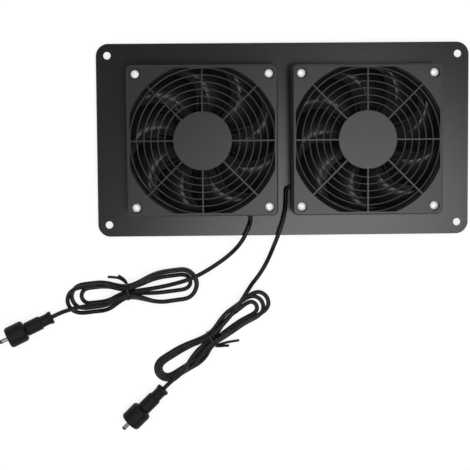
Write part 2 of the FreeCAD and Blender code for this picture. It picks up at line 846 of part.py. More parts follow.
# Where things stand: fan, cable exit, hank and plug of each side
sides = ("left", "right")
fan_place = {
    "left": Placement(Vector(-fan_pitch / 2, 0, fan_bottom), Rotation(Vector(0, 0, 1), 0)),
    "right": Placement(Vector(fan_pitch / 2, 0, fan_bottom), Rotation(Vector(0, 0, 1), -90)),
}
blade_phase = {"left": 5.6, "right": 93.9}
outlet = {side: place.multVec(cable_exit) for side, place in fan_place.items()}
outlet_floor = {side: Vector(point.x, point.y, 0) for side, point in outlet.items()}

# The cables lie on the floor: places from below each outlet, heights above the floor
hank_place = {
    "left": Placement(outlet_floor["left"] + Vector(-100.25, -62.75, 0), Rotation(Vector(0, 0, 1), 6.7)),
    "right": Placement(outlet_floor["right"] + Vector(-65.0, -123.5, 0), Rotation(Vector(0, 0, 1), 212.0)),
}
hank_shape = {
    "left": {"left": ((38.0, 44.0, 49.7), 6.15, 0.25), "right": (53.1, 8.85, 0.4), "runs": (30.0, 40.0),
             "outer_end": (4.0, 5.0, -4.0)},
    "right": {"left": ((45.5, 50.5, 56.5), 6.5, 0.2), "right": (48.7, 8.65, -0.4), "runs": (33.0, 37.0),
              "outer_end": (0.6, 14.5, 20.0)},
}
plug_tail = {
    "left": outlet_floor["left"] + Vector(-162.0, -82.95, 0),
    "right": outlet_floor["right"] + Vector(-104.2, -163.8, 0),
}
plug_heading = {"left": 205.0, "right": 224.6}
plug_level = {"left": False, "right": True}
lead_route = {
    "left": [(-1.5, -10.3, 11.4), (-4.7, -17.8, 12.0), (-9.1, -24.8, 10.6), (-15.3, -31.8, 7.0),
             (-23.8, -38.8, 4.4), (-33.3, -44.8, 6.2), (-43.3, -50.1, 9.8), (-54.3, -54.3, 10.4),
             (-66.3, -57.5, 9.2)],
    "right": [(-7.4, -5.5, 10.0), (-6.5, -12.5, 10.2), (-5.9, -21.0, 10.9), (-7.1, -29.5, 11.8),
              (-9.9, -38.0, 12.2), (-13.5, -47.0, 10.4), (-17.1, -56.5, 6.6), (-21.3, -65.5, 3.2)],
}
tail_route = {
    "left": [],
    "right": [(-89.7, -140.0, 8.4), (-93.5, -147.0, 10.8), (-96.8, -154.0, 10.8)],
}
tie_tails = {
    "left": [[-0.6, (-1.2, 9.2, 3.4), (-3.6, 11.4, 1.3), (-6.4, 13.4, 0.8)],
             [0.8, (-2.8, 10.0, 4.0), (-8.0, 12.4, 1.4), (-15.0, 13.4, 0.8)]],
    "right": [[-0.6, (-3.0, 9.8, 3.4), (-8.5, 12.4, 1.3), (-17.0, 15.4, 0.8)],
              [0.8, (1.0, 10.4, 4.2), (0.4, 13.6, 1.5), (-2.6, 16.6, 0.8)]],
}


def vectors(points, origin=Vector()):
    return [origin + Vector(*point) for point in points]


def plug_placement(side):
    """Plug on the floor: level on its coupling, or tilted onto the edges of coupling and lip."""
    lip = plug_lip_diameter / 2 - plug_edge_radius
    rise = coupling_diameter / 2 - coupling_edge_radius - lip
    between = plug_body_length + coupling_clearance + coupling_edge_radius - plug_edge_radius
    step = coupling_edge_radius - plug_edge_radius
    pitch = math.asin(step / math.hypot(between, rise)) + math.atan2(rise, between)
    height = plug_edge_radius + lip * math.cos(pitch) - plug_edge_radius * math.sin(pitch)
    if plug_level[side]:
        pitch = 0.0
        height = coupling_diameter / 2
    heading = math.radians(plug_heading[side])
    flat = math.cos(pitch)
    along = Vector(math.cos(heading) * flat, math.sin(heading) * flat, math.sin(pitch))
    rest = plug_tail[side] + Vector(0, 0, height)
    return Placement(rest, Rotation(Vector(0, 0, 1), along)), along


def cable_pieces(side):
    place = hank_place[side]
    loops = hank_edges(hank_shape[side], place)
    first = loops[0]
    last = loops[-1]
    inner = (first.valueAt(first.FirstParameter), first.tangentAt(first.FirstParameter) * -1)
    outer = (last.valueAt(last.LastParameter), last.tangentAt(last.LastParameter))
    (lead_end, lead_out), (tail_end, tail_out) = (inner, outer) if side == "left" else (outer, inner)
    plug_place, plug_along = plug_placement(side)
    entry = plug_place.Base
    outward = fan_place[side].Rotation.multVec(Vector(0, -1, 0))
    lead = [outlet[side], outlet[side] + outward * outlet_straight]
    lead += vectors(lead_route[side], outlet_floor[side])
    lead += [lead_end + lead_out * cable_straight, lead_end]
    tail = [tail_end, tail_end + tail_out * cable_straight] + vectors(tail_route[side], outlet_floor[side])
    tail += [entry - plug_along * cable_straight, entry]
    lead_edges, lead_radii = route_edges(lead)
    tail_edges, tail_radii = route_edges(tail)
    pieces = {"cable_lead": pipe(lead_edges), "cable_hank": pipe(loops), "cable_tail": pipe(tail_edges)}
    lengths = [Part.Wire(edges).Length for edges in (lead_edges, loops, tail_edges)]
    section = math.pi * cable_diameter ** 2 / 4
    fill = [piece.Volume / (section * length) for piece, length in zip(pieces.values(), lengths)]
    print(side, "lead bend radii", [round(r, 1) for r in lead_radii])
    print(side, "tail bend radii", [round(r, 1) for r in tail_radii])
    print(side, "lead, hank and tail lengths", [round(length, 1) for length in lengths])
    print(side, "volume over section times length", [round(f, 4) for f in fill])
    print(side, "least gap of the hank to itself", round(least_gap(loops), 2))
    print(side, "least gaps of lead and tail to the hank",
          round(crossing_gap(lead_edges, loops, lead_end), 2), round(crossing_gap(tail_edges, loops, tail_end), 2))
    pieces["twist_tie"] = twist_tie(place, tie_tails[side])
    return pieces


fixed_fan_pieces = {
    "fan_frame": fan_frame, "motor_mount": motor_mount, "bearing_bush": bearing_bush, "bearing_cap": bearing_cap,
    "stator_core": stator_core, "stator_windings": stator_windings, "circuit_board": circuit_board,
    "motor_lead": motor_lead,
}
turning_fan_pieces = {
    "impeller": impeller, "rotor_yoke": rotor_yoke, "rotor_magnet": rotor_magnet,
    "rotor_shaft": rotor_shaft, "retaining_clip": retaining_clip,
}
fasteners = {"guard_screws": guard_screws, "flat_washers": flat_washers, "hex_nuts": hex_nuts}
plug_pieces = {
    "plug_body": plug_body, "plug_seal": plug_seal, "plug_sleeve": plug_sleeve,
    "plug_insulator": plug_insulator, "plug_coupling": coupling_nut,
}


def placed(shape, placement):
    copy = shape.copy()
    copy.Placement = placement.multiply(copy.Placement)
    return copy


def main():
    os.makedirs("parts", exist_ok=True)
    nodes = {"mounting_plate": mounting_plate()}
    upright = Rotation()
    for side in sides:
        fan = fan_place[side]
        spun = Placement(fan.Base, Rotation(Vector(0, 0, 1), blade_phase[side]))
        flat = Placement(Vector(fan.Base.x, 0, 0), upright)
        guard = Placement(Vector(fan.Base.x, 0, guard_bottom), upright)
        groups = [(fixed_fan_pieces, fan), (turning_fan_pieces, spun), (fasteners, flat),
                  ({"finger_guard": finger_guard}, guard), (plug_pieces, plug_placement(side)[0])]
        for makers, placement in groups:
            for name, make in makers.items():
                nodes[f"{name}_{side}"] = placed(make(), placement)
        for name, shape in cable_pieces(side).items():
            nodes[f"{name}_{side}"] = shape
    for name, shape in nodes.items():
        shape.exportStep(f"parts/{name}.step")
        box = shape.BoundBox
        print(name, len(shape.Solids), shape.isValid(), round(shape.Volume, 2), "z", round(box.ZMin, 2), round(box.ZMax, 2))


main()
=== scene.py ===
# %% [markdown]
# # A twin exhaust fan, lit and dressed
# The real object is a black sheet metal plate that carries two square computer-style fans.
# Each fan has a moulded finger guard, and a thin cable that ends in a waterproof power plug.
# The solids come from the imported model, so nothing is drawn again that is already the right
# shape. This script gives them their finishes, lays the cables as smooth curves, and sets up
# the camera and the light of a plain product picture. Sizes and places are written in
# millimetres and turned into Blender's metres by MM.

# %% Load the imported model
import math

import bpy
from mathutils import Matrix, Vector


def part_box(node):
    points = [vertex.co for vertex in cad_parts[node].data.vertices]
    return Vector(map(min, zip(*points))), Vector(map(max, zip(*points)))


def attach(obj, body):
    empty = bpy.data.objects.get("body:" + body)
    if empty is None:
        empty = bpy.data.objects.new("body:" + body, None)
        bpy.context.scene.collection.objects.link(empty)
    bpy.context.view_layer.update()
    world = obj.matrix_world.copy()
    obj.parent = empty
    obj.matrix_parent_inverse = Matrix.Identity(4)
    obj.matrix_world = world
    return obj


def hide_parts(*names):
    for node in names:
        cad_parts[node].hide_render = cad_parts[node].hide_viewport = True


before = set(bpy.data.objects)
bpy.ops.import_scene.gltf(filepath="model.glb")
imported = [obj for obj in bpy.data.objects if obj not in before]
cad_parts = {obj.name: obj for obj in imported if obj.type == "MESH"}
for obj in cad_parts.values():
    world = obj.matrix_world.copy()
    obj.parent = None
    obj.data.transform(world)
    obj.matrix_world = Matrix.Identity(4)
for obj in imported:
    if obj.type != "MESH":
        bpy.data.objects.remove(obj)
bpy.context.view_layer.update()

MM = 0.001
SIDES = ("left", "right")


# %% [markdown]
# ## The camera
# The picture was taken from almost straight above, from a little over a metre away. A lens
# could be guessed by eye, but the plate's corners and wall holes have known places, so the
# camera's place, turn and focal length were worked out from where they are in the picture.
# The turn is one small rotation about a slanted axis, in degrees.

# %% Camera
CAMERA_PLACE = Vector((-70.05, 25.55, 1200.0)) * MM
CAMERA_TURN = Vector((-4.912, -1.486, -0.503))
FOCAL_LENGTH = 113.06
SENSOR_WIDTH = 36.0

camera_data = bpy.data.cameras.new("picture_camera")
camera_data.sensor_width = SENSOR_WIDTH
camera_data.lens = FOCAL_LENGTH
camera = bpy.data.objects.new("picture_camera", camera_data)
turn = Matrix.Rotation(math.radians(CAMERA_TURN.length), 4, CAMERA_TURN.normalized())
camera.matrix_world = Matrix.Translation(CAMERA_PLACE) @ turn
bpy.context.scene.collection.objects.link(camera)
bpy.context.scene.camera = camera
print("camera lens in mm:", FOCAL_LENGTH)

# %% [markdown]
# ## The cables' facts
# Each cable is a round two-core lead, 3.5 mm thick, as such fans have. It leaves the frame of
# its fan at the outlet, comes down towards the floor, and is folded to and fro into a hank that
# a twist tie holds at the waist. Its far end goes straight into the plug. The picture shows it
# from end to end. A lead's route is counted from its outlet, with heights above the floor. The
# waist is lifted a little, because the strip of the tie passes under it.

# %% Cable sizes and routes
CABLE = 3.5
STRAND_GAP = 0.9
STRAND_PITCH = CABLE + STRAND_GAP
STRAND_ROW = STRAND_PITCH * math.sqrt(3) / 2
TIE_THICK = 0.8
TIE_WIDE = 2.2
ON_FLOOR = CABLE / 2
WAIST_FLOOR = ON_FLOOR + 2 * TIE_THICK
PLUG_STRAIGHT = 8.0

OUTLETS = {"left": Vector((-26.75, -59.75, 10.0)), "right": Vector((5.5, -38.5, 10.0))}
OUTLET_ENDS = {"left": Vector((-26.75, -65.15, 10.0)), "right": Vector((1.8, -38.6, 10.0))}
LEAD_ROUTES = {
    "left": [(-1.5, -10.3, 11.4), (-4.7, -17.8, 12.0), (-9.1, -24.8, 10.6), (-15.3, -31.8, 7.0),
             (-23.8, -38.8, 4.4), (-33.3, -44.8, 6.2), (-43.3, -50.1, 9.8), (-54.3, -54.3, 10.4),
             (-66.3, -57.5, 9.2)],
    "right": [(-3.8, -6.0, 10.0), (-3.9, -13.0, 10.2), (-4.7, -20.5, 10.9), (-7.1, -29.5, 11.8),
              (-9.9, -38.0, 12.2), (-13.5, -47.0, 10.4), (-17.1, -56.5, 6.6), (-21.3, -65.5, 3.2)],
}
PLUG_ENTRIES = {"left": Vector((-188.75, -142.7, 5.16)), "right": Vector((-98.7, -202.3, 8.7))}
PLUG_WAYS = {"left": Vector((-0.898, -0.419, 0.132)), "right": Vector((-0.712, -0.702, 0.0))}


def from_outlet(side, route):
    """The places of a route's points."""
    outlet = OUTLETS[side]
    return [Vector((outlet.x + x, outlet.y + y, z)) for x, y, z in route]


print("strands stand", round(STRAND_PITCH, 2), "mm apart in the waist")

# %% [markdown]
# ## The hanks
# A hank is one length of cable laid in three loops through a tied waist. It could be traced by
# hand, but a rule keeps the strands apart: each pass has its own slot in the waist, where seven
# strands pack like a flower, and its own lane along the side of a lobe, on the floor or on the
# strands below it. Between them it eases across first and then down. Round a lobe's tip, three
# points stand outside the bend, so that the smooth curve touches the bend itself. Loose loops
# differ in size, so reaches and lanes are set loop by loop, as in the picture. The two runs are
# those of the left and the right lobe, and a hank's axes start at its waist. Where a pass has its
# points, has reached its lane and begins to drop are shares of its run. The tip's step is in degrees.

# %% Hank shapes
LAYERS = (ON_FLOOR, ON_FLOOR + STRAND_ROW)
HANKS = {
    "left": {
        "place": (-127.0, -122.5), "turn": 6.7, "runs": (30.0, 40.0),
        "left_loops": [
            {"reach": 38.0, "lanes": (-5.9, 6.4), "layers": (0, 0)},
            {"reach": 46.0, "lanes": (-9.6, 10.1), "layers": (0, 0)},
            {"reach": 49.7, "lanes": (-13.3, 8.25), "layers": (0, 1)},
        ],
        "right_loops": [
            {"reach": 51.4, "lanes": (7.9, -4.6), "layers": (0, 0)},
            {"reach": 56.5, "lanes": (12.3, -12.3), "layers": (0, 0)},
            {"reach": 56.1, "lanes": (12.0, -12.0), "layers": (1, 1)},
        ],
        "middle_end": [(20.0, 0.0, 7.2)],
        "outer_end": [(-3.0, -2.4, 11.0), (-9.0, -4.4, 11.0), (-15.0, -6.6, 10.2), (-21.0, -7.7, 8.0),
                      (-27.0, -7.75, 6.2), (-36.0, -7.7, 5.7), (-44.0, -7.9, 6.1), (-49.5, -8.8, 6.6)],
    },
    "right": {
        "place": (-59.5, -162.0), "turn": 212.0, "runs": (33.0, 37.0),
        "left_loops": [
            {"reach": 45.6, "lanes": (-7.6, 0.8), "layers": (0, 0), "tip": (-9.0, 2.2)},
            {"reach": 51.0, "lanes": (-11.3, 4.5), "layers": (0, 0), "tip": (-12.9, 6.2)},
            {"reach": 56.4, "lanes": (-11.5, 2.65), "layers": (1, 1), "tip": (-14.4, 5.4)},
        ],
        "right_loops": [
            {"reach": 49.2, "lanes": (7.9, -4.2), "layers": (0, 0)},
            {"reach": 53.0, "lanes": (11.6, -7.9), "layers": (0, 0), "spread": 0.45},
            {"reach": 51.1, "lanes": (9.75, -6.05), "layers": (1, 1)},
        ],
        "middle_end": [(43.1, 11.4, 9.5), (36.6, 10.6, 10.0), (31.0, 9.0, 10.7), (26.0, 6.2, 10.3),
                       (20.0, 3.6, 8.2), (12.0, 1.2, 7.6)],
        "outer_end": [(-3.5, -2.6, 11.0), (-11.0, -4.2, 10.7), (-20.0, -6.9, 10.0), (-31.0, -10.2, 9.4),
                      (-42.0, -15.6, 9.4), (-52.0, -20.0, 4.6), (-58.5, -21.7, 1.75)],
    },
}
WAIST_SLOTS = [
    (0, STRAND_ROW), (STRAND_PITCH / 2, 0), (-STRAND_PITCH / 2, 0), (STRAND_PITCH, STRAND_ROW),
    (-STRAND_PITCH, STRAND_ROW), (STRAND_PITCH / 2, 2 * STRAND_ROW), (-STRAND_PITCH / 2, 2 * STRAND_ROW),
]
PASS_SHARES = (0.1, 0.3, 0.5, 0.7, 0.9)
SPREAD_END = 0.7
DROP_START = 0.35
TIP_STEP = 60


def eased(share):
    share = min(max(share, 0.0), 1.0)
    return share * share * (3 - 2 * share)


def half_pass(end, run, slot, lane, height, spread=SPREAD_END):
    """From the waist to the side of a lobe; end is -1 for the left lobe and 1 for the right."""
    start = WAIST_FLOOR + slot[1]
    points = []
    for share in PASS_SHARES:
        across = eased(share / spread)
        down = eased((share - DROP_START) / (1 - DROP_START))
        points.append(Vector((end * run * share, slot[0] + (lane - slot[0]) * across,
                              start + (height - start) * down)))
    return points


def lobe(end, run, slots, loop):
    """Out along one lane, round the tip and back along the other."""
    lanes = loop["lanes"]
    heights = [LAYERS[layer] for layer in loop["layers"]]
    tip = loop.get("tip", lanes)
    half = abs(tip[1] - tip[0]) / 2
    middle = (tip[0] + tip[1]) / 2
    way = math.copysign(1, tip[1] - tip[0])
    outside = half / math.cos(math.radians(TIP_STEP / 2))
    points = half_pass(end, run, slots[0], lanes[0], heights[0], loop.get("spread", SPREAD_END))
    for step in (-1, 0, 1):
        angle = math.radians(step * TIP_STEP)
        share = (step + 1) / 2
        points.append(Vector((end * (loop["reach"] - half + outside * math.cos(angle)),
                              middle + way * outside * math.sin(angle),
                              heights[0] + (heights[1] - heights[0]) * share)))
    return points + half_pass(end, run, slots[1], lanes[1], heights[1])[::-1]


print("loops:", {side: len(HANKS[side]["left_loops"]) for side in SIDES})


# %% Cable points
def hank_points(side):
    """From the end in the middle of the waist to the outer end, in the hank's own axes."""
    hank = HANKS[side]
    left_run, right_run = hank["runs"]
    points = [Vector(point) for point in hank["middle_end"]]
    for n, (left_loop, right_loop) in enumerate(zip(hank["left_loops"], hank["right_loops"])):
        slots = WAIST_SLOTS[2 * n:2 * n + 3]
        points += lobe(-1, left_run, slots[:2], left_loop)
        points += lobe(1, right_run, slots[1:], right_loop)
    return points + [Vector(point) for point in hank["outer_end"]]


def hank_place(side):
    """The matrix that takes a hank's own axes to the floor."""
    hank = HANKS[side]
    return Matrix.Translation((*hank["place"], 0)) @ Matrix.Rotation(math.radians(hank["turn"]), 4, "Z")


def cable_points(side):
    """From the outlet to the plug; the right cable enters its hank at the outer end."""
    place = hank_place(side)
    loops = [place @ point for point in hank_points(side)]
    if side == "right":
        loops.reverse()
    lead = [OUTLETS[side], OUTLET_ENDS[side]] + from_outlet(side, LEAD_ROUTES[side])
    entry = PLUG_ENTRIES[side]
    return lead + loops + [entry - PLUG_WAYS[side] * PLUG_STRAIGHT, entry]


for side in SIDES:
    print(side, "cable points:", len(cable_points(side)))

# %% [markdown]
# ## Laying the cables
# A cable is round and bends without corners, so each is one NURBS curve with a round bevel:
# its points pull the curve as hands would pull a real lead. A mesh tube would do too, but the
# curve keeps its true length to measure. The order goes in after the points, because Blender
# cuts it down to the number of points that are there.

# %% Cables
CURVE_ORDER = 3
CURVE_STEPS = 6
CABLE_ROUND_STEPS = 5


def smooth_curve(name, points, thickness, round_steps, closed=False):
    """A bevel of one metre is thinned at each point, so that the curve's own box is the tube's."""
    curve = bpy.data.curves.new(name, "CURVE")
    curve.bevel_depth = 1.0
    curve.bevel_resolution = round_steps
    curve.use_fill_caps = True
    curve.dimensions = "3D"
    curve.resolution_u = CURVE_STEPS
    spline = curve.splines.new("NURBS")
    spline.points.add(len(points) - 1)
    for control, point in zip(spline.points, points):
        control.co = (*(point * MM), 1.0)
        control.radius = thickness / 2 * MM
    spline.order_u = CURVE_ORDER
    spline.use_cyclic_u = closed
    spline.use_endpoint_u = not closed
    piece = bpy.data.objects.new(name, curve)
    bpy.context.scene.collection.objects.link(piece)
    return piece


cables = {}
for side in SIDES:
    cable = smooth_curve(f"cable_{side}", cable_points(side), CABLE, CABLE_ROUND_STEPS)
    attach(cable, "base")
    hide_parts(f"cable_lead_{side}", f"cable_hank_{side}", f"cable_tail_{side}")
    cables[side] = cable
print("cables:", sorted(cables))

# %% [markdown]
# ## The twist ties
# A twist tie is a soft wire in a flat plastic strip. It goes once round the waist of the hank,
# turning at shoulders that stand at a share of the ring's half width, and its two ends are left
# sticking out. A strip is a curve that is widened by extrude and rounded by bevel, both counted
# in half thicknesses. The three curves of a tie then become one mesh.

# %% Twist ties
STRIP_ROUND_STEPS = 2
RING_SHOULDER = 0.8
TIE_TAILS = {
    "left": [[(0, 6.9, 6.5), (-1.2, 9.2, 3.4), (-3.6, 11.4, 1.3), (-6.4, 13.4, 0.8)],
             [(0, 6.9, 7.9), (-2.8, 10.0, 4.0), (-8.0, 12.4, 1.4), (-15.0, 13.4, 0.8)]],
    "right": [[(0, 6.9, 6.5), (-4.5, 8.4, 3.4), (-10.5, 10.6, 1.3), (-18.2, 14.2, 0.8)],
              [(0, 6.9, 7.9), (-2.4, 9.0, 5.8), (-6.0, 11.2, 2.8), (-8.6, 13.4, 0.8)]],
}


def waist_ring():
    """Corners of the strip's path round the seven strands, in the plane across the hank."""
    middle = WAIST_FLOOR + STRAND_ROW
    wide = STRAND_PITCH + CABLE / 2 + TIE_THICK
    high = STRAND_ROW + CABLE / 2 + TIE_THICK
    shoulder = wide * RING_SHOULDER
    corners = [(wide, 0), (shoulder, high), (0, high), (-shoulder, high),
               (-wide, 0), (-shoulder, -high), (0, -high), (shoulder, -high)]
    return [Vector((0, across, middle + up)) for across, up in corners]


def twist_tie(side):
    place = hank_place(side)
    ring = [place @ corner for corner in waist_ring()]
    strips = [smooth_curve(f"twist_tie_strip_{side}", ring, TIE_THICK, STRIP_ROUND_STEPS, closed=True)]
    for tail in TIE_TAILS[side]:
        points = [place @ Vector(point) for point in tail]
        strips.append(smooth_curve(f"tie_end_{side}", points, TIE_THICK, STRIP_ROUND_STEPS))
    bpy.ops.object.select_all(action="DESELECT")
    for strip in strips:
        strip.data.extrude = (TIE_WIDE - TIE_THICK) / TIE_THICK
        for point in strip.data.splines[0].points:
            point.tilt = math.pi / 2
        strip.select_set(True)
    bpy.context.view_layer.objects.active = strips[0]
    bpy.ops.object.convert(target="MESH")
    bpy.ops.object.join()
    bpy.ops.object.shade_smooth()
    return bpy.context.object


ties = {}
for side in SIDES:
    tie = twist_tie(side)
    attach(tie, "base")
    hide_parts(f"twist_tie_{side}")
    ties[side] = tie
    print(tie.name, "faces:", len(tie.data.polygons))

# %% [markdown]
# ## Colours and nodes
# Colours are read off as sRGB hex values, as in any paint program, while shaders work in linear
# light. One function turns the first into the second by the sRGB standard's formula, and one
# adds a node with its settings and its links, so that each finish below is a few lines that can
# be read. A noise texture's values lie round one half, and few leave the range given here.

# %% Helpers for finishes
PATCH_DETAIL = 3.0
GRAIN_DETAIL = 2.0
NOISE_LOW = 0.3
NOISE_HIGH = 0.7


def linear(code):
    """Linear RGBA of an sRGB colour such as "#2b2b2c"."""
    levels = [int(code[n:n + 2], 16) / 255 for n in (1, 3, 5)]
    return tuple(v / 12.92 if v <= 0.04045 else ((v + 0.055) / 1.055) ** 2.4 for v in levels) + (1.0,)


def add_node(tree, kind, inputs=None, **settings):
    node = tree.nodes.new(kind)
    for name, value in settings.items():
        setattr(node, name, value)
    for name, value in (inputs or {}).items():
        if isinstance(value, bpy.types.NodeSocket):
            tree.links.new(value, node.inputs[name])
        else:
            node.inputs[name].default_value = value
    return node


def noise(tree, place, size, detail):
    """Noise with lumps of about this size in millimetres."""
    node = add_node(tree, "ShaderNodeTexNoise", {"Vector": place, "Scale": 1 / (size * MM), "Detail": detail})
    return node.outputs["Fac"]


def speckled(name, dark, light, patch, grain, height, roughness, **constants):
    """A finish with soft colour patches and a fine grain; patch, grain and height are in millimetres."""
    material = bpy.data.materials.new(name)
    material.use_nodes = True
    tree = material.node_tree
    shader = tree.nodes["Principled BSDF"]
    place = add_node(tree, "ShaderNodeTexCoord").outputs["Object"]
    patches = noise(tree, place, patch, PATCH_DETAIL)
    fine = noise(tree, place, grain, GRAIN_DETAIL)
    colour = add_node(tree, "ShaderNodeMix", {"Factor": patches, "A": linear(dark), "B": linear(light)},
                      data_type="RGBA")
    gloss = add_node(tree, "ShaderNodeMapRange", {"Value": fine, "From Min": NOISE_LOW,
                                                  "From Max": NOISE_HIGH, "To Min": roughness[0],
                                                  "To Max": roughness[1]})
    bump = add_node(tree, "ShaderNodeBump", {"Height": fine, "Distance": height * MM})
    tree.links.new(colour.outputs["Result"], shader.inputs["Base Color"])
    tree.links.new(gloss.outputs["Result"], shader.inputs["Roughness"])
    tree.links.new(bump.outputs["Normal"], shader.inputs["Normal"])
    for socket, value in constants.items():
        shader.inputs[socket.replace("_", " ")].default_value = value
    return material


# %% [markdown]
# ## The plate's powder coat
# The plate is sheet aluminium with a baked black powder coat. Such a coat is satin: it is nearly
# black, but it shows a broad soft sheen of the lamp. Its skin is slightly wavy, like orange peel,
# between one and two millimetres from hill to hill.

# %% Powder coat
powder_coat = speckled("black_powder_coat", "#0a0a0b", "#0d0d0e",
                       patch=18.0, grain=1.6, height=0.02, roughness=(0.215, 0.255))
print(powder_coat.name)

# %% [markdown]
# ## The mouldings
# Frames, guards and impellers are moulded from glass-filled PBT, a tough black plastic. The
# mould's eroded surface leaves a fine matt grain, and the glass fibres a faint cloudiness. Guards
# and impellers come from smoother moulds than frames. The plug and its nut are polyamide, which is
# blacker and dull. Cable jackets and tie strips are soft PVC with a slight gloss.

# %% Moulded plastics
guard_plastic = speckled("moulded_PBT_guard", "#171718", "#1c1c1d",
                         patch=9.0, grain=1.0, height=0.015, roughness=(0.28, 0.33), Specular_IOR_Level=0.46)
frame_plastic = speckled("moulded_PBT_frame", "#181819", "#1e1e1f",
                         patch=9.0, grain=0.9, height=0.03, roughness=(0.45, 0.58))
impeller_plastic = speckled("moulded_PBT_impeller", "#171718", "#1c1c1d",
                            patch=8.0, grain=0.9, height=0.004, roughness=(0.18, 0.23))
plug_plastic = speckled("moulded_polyamide_plug", "#090909", "#0e0e0f",
                        patch=4.0, grain=0.7, height=0.03, roughness=(0.50, 0.62), Specular_IOR_Level=0.22)
cable_jacket = speckled("PVC_cable_jacket", "#070708", "#0b0b0c",
                        patch=6.0, grain=0.8, height=0.004, roughness=(0.22, 0.30), Specular_IOR_Level=0.26)
tie_plastic = speckled("PVC_tie_strip", "#070708", "#0d0d0e",
                       patch=3.0, grain=0.6, height=0.01, roughness=(0.28, 0.40), Specular_IOR_Level=0.25)
seal_rubber = speckled("nitrile_seal_rubber", "#111111", "#171717",
                       patch=2.0, grain=0.5, height=0.01, roughness=(0.45, 0.60))
print("materials so far:", len(bpy.data.materials))

# %% [markdown]
# ## The metals and the motor
# The guard screws are plated with satin nickel, the plug's barrel with bright nickel, nuts and
# washers with duller zinc. Inside the hub sit a steel yoke, a grey ferrite magnet, a laminated
# core with enamelled copper coils, a bronze bush and a green circuit board.

# %% Metals and motor parts
satin_nickel = speckled("satin_nickel_plate", "#f0efec", "#f8f7f5",
                        patch=3.0, grain=0.8, height=0.004, roughness=(0.48, 0.58), Metallic=1.0)
bright_nickel = speckled("bright_nickel_plate", "#8d8d8b", "#9b9b99",
                         patch=3.0, grain=0.8, height=0.002, roughness=(0.13, 0.18), Metallic=1.0)
zinc = speckled("zinc_plated_steel", "#9fa3a6", "#b4b8ba",
                patch=2.5, grain=0.6, height=0.006, roughness=(0.30, 0.42), Metallic=1.0)
motor_steel = speckled("drawn_motor_steel", "#7e8083", "#94969a",
                       patch=4.0, grain=0.5, height=0.006, roughness=(0.32, 0.45), Metallic=1.0)
ferrite = speckled("sintered_ferrite", "#2c2c2e", "#38383a",
                   patch=2.0, grain=0.4, height=0.02, roughness=(0.60, 0.75))
bronze = speckled("sintered_bronze", "#9a7444", "#b08850",
                  patch=1.5, grain=0.4, height=0.02, roughness=(0.38, 0.52), Metallic=1.0)
copper = speckled("enamelled_copper_wire", "#8a3f1c", "#a9552a",
                  patch=1.0, grain=0.35, height=0.05, roughness=(0.22, 0.32), Metallic=1.0)
solder_mask = speckled("green_solder_mask", "#0d3a22", "#12482b",
                       patch=3.0, grain=0.6, height=0.01, roughness=(0.28, 0.38))
cap_plastic = speckled("moulded_POM_cap", "#1c1c1c", "#242424",
                       patch=3.0, grain=0.8, height=0.01, roughness=(0.40, 0.50))
print("materials so far:", len(bpy.data.materials))

# %% [markdown]
# ## Dressing the pieces
# Both fans are alike, so a solid's name without its side tells which finish it gets.

# %% Finishes on the solids
FINISHES = {
    "mounting_plate": powder_coat, "finger_guard": guard_plastic, "fan_frame": frame_plastic,
    "motor_mount": frame_plastic, "impeller": impeller_plastic, "guard_screws": satin_nickel,
    "flat_washers": zinc, "hex_nuts": zinc, "rotor_yoke": motor_steel, "rotor_magnet": ferrite,
    "rotor_shaft": motor_steel, "retaining_clip": motor_steel, "bearing_bush": bronze,
    "bearing_cap": cap_plastic, "stator_core": motor_steel, "stator_windings": copper,
    "circuit_board": solder_mask, "motor_lead": cable_jacket, "plug_body": plug_plastic,
    "plug_coupling": plug_plastic, "plug_sleeve": bright_nickel, "plug_insulator": cap_plastic,
    "plug_seal": seal_rubber, "cable_lead": cable_jacket, "cable_hank": cable_jacket,
    "cable_tail": cable_jacket, "twist_tie": tie_plastic,
}


def finish_piece(piece, material):
    piece.data.materials.clear()
    piece.data.materials.append(material)


for name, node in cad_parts.items():
    finish_piece(node, FINISHES[name.removesuffix("_left").removesuffix("_right")])
for side in SIDES:
    finish_piece(cables[side], cable_jacket)
    finish_piece(ties[side], tie_plastic)
print("finished solids:", len(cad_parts))

# %% [markdown]
# ## The white floor
# The object lies on white paper that is lit so far that it is pure white, with only a soft shadow
# left beside the cables. Most of that white is given by the paper itself to the camera's rays
# and to reflections. It then throws no extra light on the object. The rest is lit by the lamps,
# and that part keeps the shadow. Under each fan, both the paper's glow and its white colour are
# turned down round the fan's axis. This is painted shade, which stands in for the deep shade of
# frame and blades where a lamp could not make the paper glow.

# %% Floor
FLOOR_SIZE = 8000.0
# Painted shade under the fans: within these radii of a fan's axis, the paper's glow and white are turned down
# to this level.
PAINTED_SHADE_RADIUS = 58.0
PAINTED_SHADE_END_RADIUS = 72.0
PAINTED_SHADE_LEVEL = 0.011
PAPER_GLOW = 0.80
PAPER_WHITE = 0.26

fan_boxes = [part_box(f"fan_frame_{side}") for side in SIDES]
fan_centres = [((low + high) / 2).x for low, high in fan_boxes]
bpy.ops.mesh.primitive_plane_add(size=FLOOR_SIZE * MM, location=(0, 0, 0))
floor = bpy.context.object
floor.name = "white_paper_floor"
paper = bpy.data.materials.new("white_paper")
paper.use_nodes = True
tree = paper.node_tree
tree.nodes.clear()
rays = add_node(tree, "ShaderNodeLightPath")
seen = add_node(tree, "ShaderNodeMath", {0: rays.outputs["Is Camera Ray"], 1: rays.outputs["Is Glossy Ray"]},
                operation="MAXIMUM")
shown = add_node(tree, "ShaderNodeMath", {0: seen.outputs[0], 1: rays.outputs["Is Transmission Ray"]},
                 operation="MAXIMUM")
place = add_node(tree, "ShaderNodeTexCoord").outputs["Object"]
away = []
for x in fan_centres:
    offset = add_node(tree, "ShaderNodeVectorMath", {0: place, 1: (x, 0, 0)}, operation="DISTANCE")
    away.append(offset.outputs["Value"])
nearest = add_node(tree, "ShaderNodeMath", {0: away[0], 1: away[1]}, operation="MINIMUM")
